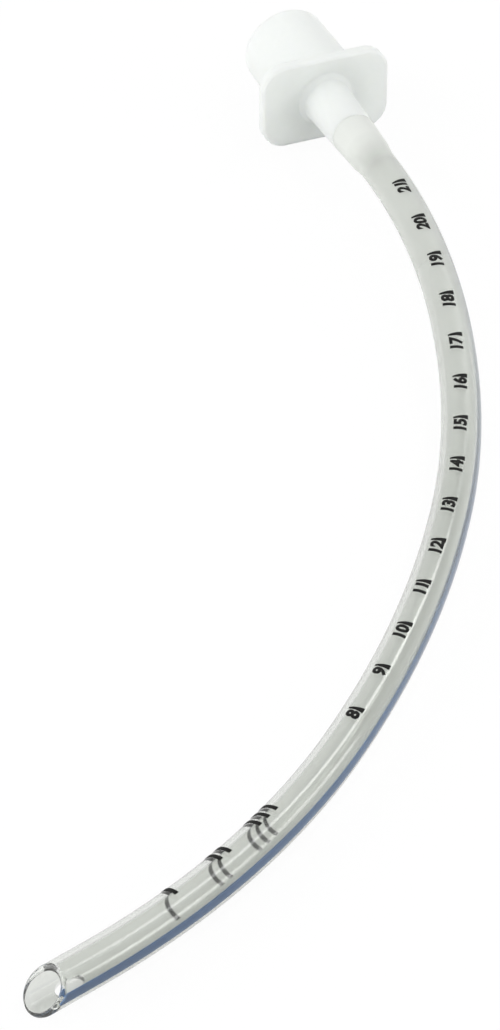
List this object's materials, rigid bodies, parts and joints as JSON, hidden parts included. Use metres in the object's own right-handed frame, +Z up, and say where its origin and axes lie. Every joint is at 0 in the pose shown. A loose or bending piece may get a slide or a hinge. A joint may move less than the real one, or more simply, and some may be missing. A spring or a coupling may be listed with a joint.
{
  "type": "endotracheal tube",
  "caption": "Uncuffed clear tracheal tube, bent to the airway, with a bevelled tip, side eye, radiopaque line, depth marks and a winged 15 mm connector.",
  "frame": {"origin": "middle of the flat lower edge of the connector's flange, on the surface that the tube lies on", "axes": "+Y along the connector's axis, out of its open end, +Z up; the tube curves away to -X and -Y, and lies on Z = 0"},
  "size_m": [0.1285, 0.1993, 0.0156],
  "materials": {
    "clear_pvc": "clear, smooth",
    "radiopaque_stripe": "smooth, in the wall",
    "connector_plastic": "milky translucent, satin",
    "ink": "printed ink"
  },
  "bodies": {
    "root": {"tube": "clear_pvc", "radiopaque_line": "radiopaque_stripe", "connector": "connector_plastic", "depth_rings": "ink", "depth_scale": "ink"}
  },
  "joints": []
}
